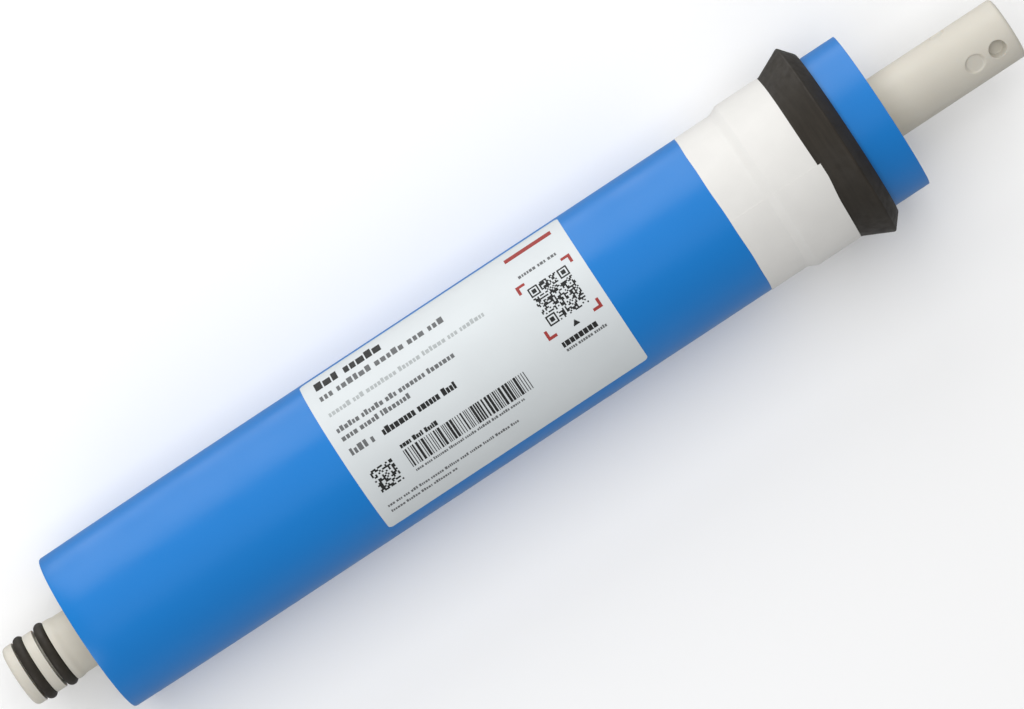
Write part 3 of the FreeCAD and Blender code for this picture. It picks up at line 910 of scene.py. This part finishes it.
class Print:
    """Marks on the label, placed in millimetres from its corner: x along the element,
    y round it."""

    def __init__(self, sizes):
        self.skin = Skin()
        self.surface = LABEL.outer
        self.ink = sizes.ink_depth
        self.top_turn = sizes.turn - sizes.wrap_angle / 2

    def mark(self, x, y, width, height):
        turn = self.top_turn + y * MM / self.surface
        start = LABEL.start + x * MM
        patch(self.skin, start, start + width * MM, turn, turn + height * MM / self.surface,
              self.surface - self.ink, self.surface + self.ink)

    def words(self, left, right, top, height, rng, bold=False):
        """A line of words, each a run of plain blocks of uneven width and height."""
        x = left
        gap = (0.10 if bold else 0.20) * height
        while x < right - height:
            for _ in range(rng.integers(3, 9)):
                width = rng.uniform(0.35, 0.7) * height
                if x + width > right:
                    return
                drop = rng.choice([0.0, 0.24, 0.24, 0.24]) * height
                self.mark(x, top + drop, width, height - drop)
                x += width + gap
            x += 0.4 * height

    def bars(self, left, right, top, height, rng):
        """Upright bars of a few widths."""
        x = left
        while x < right:
            width = rng.choice([0.22, 0.22, 0.44, 0.66])
            self.mark(x, top, min(width, right - x), height)
            x += width + rng.choice([0.22, 0.3, 0.5])

    def modules(self, left, top, side, count, rng, corners=0):
        """A block of random square modules, with runs in a row joined. Three of its
        corners may hold a square in a frame, that many modules wide."""
        step = side / count
        dark = rng.random((count, count)) < 0.5
        if corners:
            place_in = np.arange(corners)
            ring = np.minimum(place_in, place_in[::-1])
            depth = np.minimum(ring[:, None], ring)
            near = slice(0, corners + 1)
            far = slice(count - corners - 1, count)
            for rows, columns in ((near, near), (near, far), (far, near)):
                dark[rows, columns] = False
                block = dark[rows, columns]
                block[:corners, :corners] = False
            for row, column in ((0, 0), (0, count - corners), (count - corners, 0)):
                dark[row:row + corners, column:column + corners] = depth != 1
        for row in range(count):
            edges = np.flatnonzero(np.diff(np.concatenate([[0], dark[row], [0]])))
            for first, last in zip(edges[::2], edges[1::2]):
                self.mark(left + first * step, top + row * step, (last - first) * step, step)

    def triangle(self, x, y, width, height, steps=6):
        """A triangle that points to the label's top, from rows of shrinking marks."""
        for step in range(steps):
            share = (step + 0.5) / steps
            self.mark(x - width * share / 2, y + height * step / steps,
                      width * share, height / steps)


def label_print(sizes):
    rng = np.random.default_rng(11)
    dark = Print(sizes)
    dark.words(3.5, 25.8, 4.3, 3.9, rng, bold=True)
    dark.words(12.2, 35.2, 28.1, 1.9, rng, bold=True)
    dark.words(13.9, 25.0, 33.8, 1.3, rng, bold=True)
    dark.bars(13.8, 49.6, 35.7, 5.2, rng)
    dark.modules(3.8, 35.6, 6.6, 14, rng)
    dark.modules(61.5, 18.8, 11.4, 29, rng, corners=7)
    dark.triangle(67.3, 31.8, 2.0, 1.5)
    dark.words(61.4, 73.4, 34.6, 1.9, rng, bold=True)
    grey = Print(sizes)
    grey.words(3.3, 40.9, 10.4, 2.3, rng)
    grey.words(2.8, 39.5, 21.7, 1.5, rng)
    grey.words(2.8, 25.1, 24.2, 1.5, rng)
    grey.words(2.8, 11.0, 28.0, 1.9, rng)
    grey.words(13.9, 46.2, 41.6, 0.8, rng)
    grey.words(3.0, 42.9, 46.1, 0.9, rng)
    grey.words(3.0, 23.0, 48.2, 0.9, rng)
    grey.words(61.3, 73.4, 13.6, 1.2, rng)
    grey.words(61.6, 73.4, 36.9, 0.9, rng)
    pale = Print(sizes)
    pale.words(3.2, 49.5, 16.8, 1.5, rng)
    red = Print(sizes)
    red.mark(60.4, 4.9, 13.8, 2.0)
    arm, thick = 2.6, 0.8
    for x, inward_x in ((59.2, 0), (75.2, 1)):
        for y, inward_y in ((16.5, 0), (33.0, 1)):
            red.mark(x - inward_x * arm, y - inward_y * thick, arm, thick)
            red.mark(x - inward_x * thick, y - inward_y * arm + (1 - inward_y) * thick,
                     thick, arm - thick)
    return [
        dark.skin.piece("label_dark_print", ink("dark_ink", sizes.dark_ink)),
        grey.skin.piece("label_grey_print", ink("grey_ink", sizes.grey_ink)),
        pale.skin.piece("label_pale_print", ink("pale_ink", sizes.pale_ink)),
        red.skin.piece("label_red_print", ink("red_ink", sizes.red_ink)),
    ]


def label_sheet(sizes):
    """The label itself, on the wrap."""
    skin = Skin()
    half = sizes.wrap_angle / 2
    patch(skin, LABEL.start, LABEL.end, sizes.turn - half, sizes.turn + half,
          WRAP.outer, LABEL.outer, columns=180, corner=sizes.corner)
    return skin.piece("label_sheet", label_paper(sizes.paper))


# --- stage ------------------------------------------------------------------------

def pale_floor(tone):
    recipe = Recipe("pale_floor", Specular_IOR_Level=0.2, Roughness=0.8)
    recipe.tint(recipe.noise(3, detail=2), tone, 0.995)
    recipe.bump(recipe.noise(400, detail=2), 0.00005, 0.1)
    return recipe.material


def aim(thing, target):
    thing.rotation_euler = (Vector(target) - thing.location).to_track_quat("-Z", "Y").to_euler()


SOFTBOX_LEAN = math.radians(85)


def soft_light(scene, name, centre, offset, spread, power):
    """A rectangular light at an offset from the centre, facing it."""
    light = bpy.data.lights.new(name, "AREA")
    light.shape = "RECTANGLE"
    light.size, light.size_y = spread
    light.energy = power
    lamp = bpy.data.objects.new(name, light)
    lamp.location = centre + offset
    lamp.visible_camera = False
    scene.collection.objects.link(lamp)
    aim(lamp, centre)
    return lamp


def stage(context, sizes):
    scene = context.scene
    low, high = cad_box
    centre = (Vector(low) + Vector(high)) / 2
    reach = 5.0
    skin = Skin()
    span = np.linspace(-reach, reach, 3)
    skin.grid(np.stack(np.broadcast_arrays(span[None, :], span[:, None], 0.0), axis=-1),
              flip=False)
    floor = skin.piece("floor", pale_floor(sizes.floor_colour))
    floor.visible_glossy = False

    beside = Vector((0.0, math.sin(SOFTBOX_LEAN), math.cos(SOFTBOX_LEAN)))
    soft_light(scene, "softbox", centre, beside, (1.1, 1.6), sizes.key_power)
    overhead = Vector((0.0, 0.3, 1.4))
    fill = soft_light(scene, "overhead", centre, overhead, (1.5, 1.5), sizes.fill_power)
    fill.visible_glossy = False
    beyond_tip = Vector((-0.8, -0.35, 0.5))
    soft_light(scene, "end_light", centre, beyond_tip, (0.5, 0.5), sizes.end_power)

    world = bpy.data.worlds.new("room")
    world.use_nodes = True
    tree = world.node_tree
    light = tree.nodes["Background"]
    light.inputs["Strength"].default_value = sizes.room_light
    light.inputs["Color"].default_value = (1.0, 1.0, 1.0, 1)
    backdrop = tree.nodes.new("ShaderNodeBackground")
    backdrop.inputs["Color"].default_value = (*sizes.backdrop, 1)
    seen = tree.nodes.new("ShaderNodeLightPath").outputs["Is Camera Ray"]
    either = tree.nodes.new("ShaderNodeMixShader")
    tree.links.new(seen, either.inputs["Fac"])
    tree.links.new(light.outputs["Background"], either.inputs[1])
    tree.links.new(backdrop.outputs["Background"], either.inputs[2])
    tree.links.new(either.outputs["Shader"], tree.nodes["World Output"].inputs["Surface"])
    scene.world = world

    lens = bpy.data.cameras.new("camera")
    lens.lens = sizes.focal_length
    lens.sensor_width = 36.0
    lens.clip_end = 20.0
    camera = bpy.data.objects.new("camera", lens)
    middle = TIP + AXIS * 148.66 * MM - SIDE * 0.26 * MM
    camera.location = (middle[0], middle[1], middle[2] + sizes.camera_height)
    camera.rotation_euler = (0.0, 0.0, -sizes.axis_turn)
    scene.collection.objects.link(camera)
    scene.camera = camera
    scene.view_settings.view_transform = "Standard"


# --- operators --------------------------------------------------------------------

class BuildTube(bpy.types.Operator):
    """Build the moulded permeate tube"""
    bl_idname = "element.build_tube"
    bl_label = "Permeate tube"

    def execute(self, context):
        tube = permeate_tube(settings(context, "tube"))
        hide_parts("permeate_tube")
        return {"FINISHED"}


class BuildRings(bpy.types.Operator):
    """Build the two O-rings in the spigot's grooves"""
    bl_idname = "element.build_rings"
    bl_label = "O-rings"

    def execute(self, context):
        sizes = settings(context, "seal")
        material = black_rubber("o_ring_rubber", sizes.colour, False)
        rings = (("ring_near_tip", OUTER_RING, "outer_o_ring"),
                 ("ring_near_roll", INNER_RING, "inner_o_ring"))
        for name, where, node in rings:
            cord = Cord(sizes.ring_width, sizes.ring_height)
            ring = o_ring(name, where, cord, material)
            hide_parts(node)
        return {"FINISHED"}


class BuildRoll(bpy.types.Operator):
    """Build the wound sheets and the net between them"""
    bl_idname = "element.build_roll"
    bl_label = "Roll"

    def execute(self, context):
        sizes = settings(context, "roll")
        for sheet in membrane_roll(sizes):
            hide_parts("membrane_envelope")
        net = spacer_net(sizes)
        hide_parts("feed_spacer")
        return {"FINISHED"}


class BuildWrap(bpy.types.Operator):
    """Build the blue wrap"""
    bl_idname = "element.build_wrap"
    bl_label = "Wrap"

    def execute(self, context):
        wrap = body_wrap(settings(context, "wrap"))
        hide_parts("body_wrap")
        return {"FINISHED"}


class BuildSeal(bpy.types.Operator):
    """Build the brine seal"""
    bl_idname = "element.build_seal"
    bl_label = "Brine seal"

    def execute(self, context):
        sizes = settings(context, "seal")
        seal = brine_seal(sizes, black_rubber("seal_rubber", sizes.colour, True))
        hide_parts("brine_seal")
        return {"FINISHED"}


class BuildTape(bpy.types.Operator):
    """Build the tape that holds the seal"""
    bl_idname = "element.build_tape"
    bl_label = "Tape"

    def execute(self, context):
        tape = seal_tape(settings(context, "tape"))
        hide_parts("seal_tape")
        return {"FINISHED"}


class BuildLabel(bpy.types.Operator):
    """Build the label and its print"""
    bl_idname = "element.build_label"
    bl_label = "Label"

    def execute(self, context):
        sizes = settings(context, "label")
        sheet = label_sheet(sizes)
        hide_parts("label")
        for marks in label_print(sizes):
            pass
        return {"FINISHED"}


class BuildStage(bpy.types.Operator):
    """Set up the floor, the light and the camera"""
    bl_idname = "element.build_stage"
    bl_label = "Stage"

    def execute(self, context):
        stage(context, settings(context, "stage"))
        return {"FINISHED"}


OPERATORS = (BuildTube, BuildRings, BuildRoll, BuildWrap, BuildSeal, BuildTape, BuildLabel,
             BuildStage)


class ElementPanel(bpy.types.Panel):
    """Builds each piece from its settings"""
    bl_idname = "VIEW3D_PT_element"
    bl_label = "Membrane element"
    bl_space_type = "VIEW_3D"
    bl_region_type = "UI"
    bl_category = "Membrane element"

    def draw(self, context):
        for operator in OPERATORS:
            self.layout.operator(operator.bl_idname)
        for group, kind in SETTINGS.items():
            box = self.layout.box()
            box.label(text=group.capitalize())
            for name in kind.__annotations__:
                box.prop(settings(context, group), name)


CLASSES = (*SETTINGS.values(), *OPERATORS, ElementPanel)


def register():
    for kind in CLASSES:
        bpy.utils.register_class(kind)
    for group, kind in SETTINGS.items():
        setattr(bpy.types.Scene, f"element_{group}", PointerProperty(type=kind))


def unregister():
    for group in SETTINGS:
        delattr(bpy.types.Scene, f"element_{group}")
    for kind in reversed(CLASSES):
        bpy.utils.unregister_class(kind)


def main():
    register()
    bpy.ops.element.build_tube()
    bpy.ops.element.build_rings()
    bpy.ops.element.build_roll()
    bpy.ops.element.build_wrap()
    bpy.ops.element.build_seal()
    bpy.ops.element.build_tape()
    bpy.ops.element.build_label()
    bpy.ops.element.build_stage()


if __name__ == "__main__":
    main()
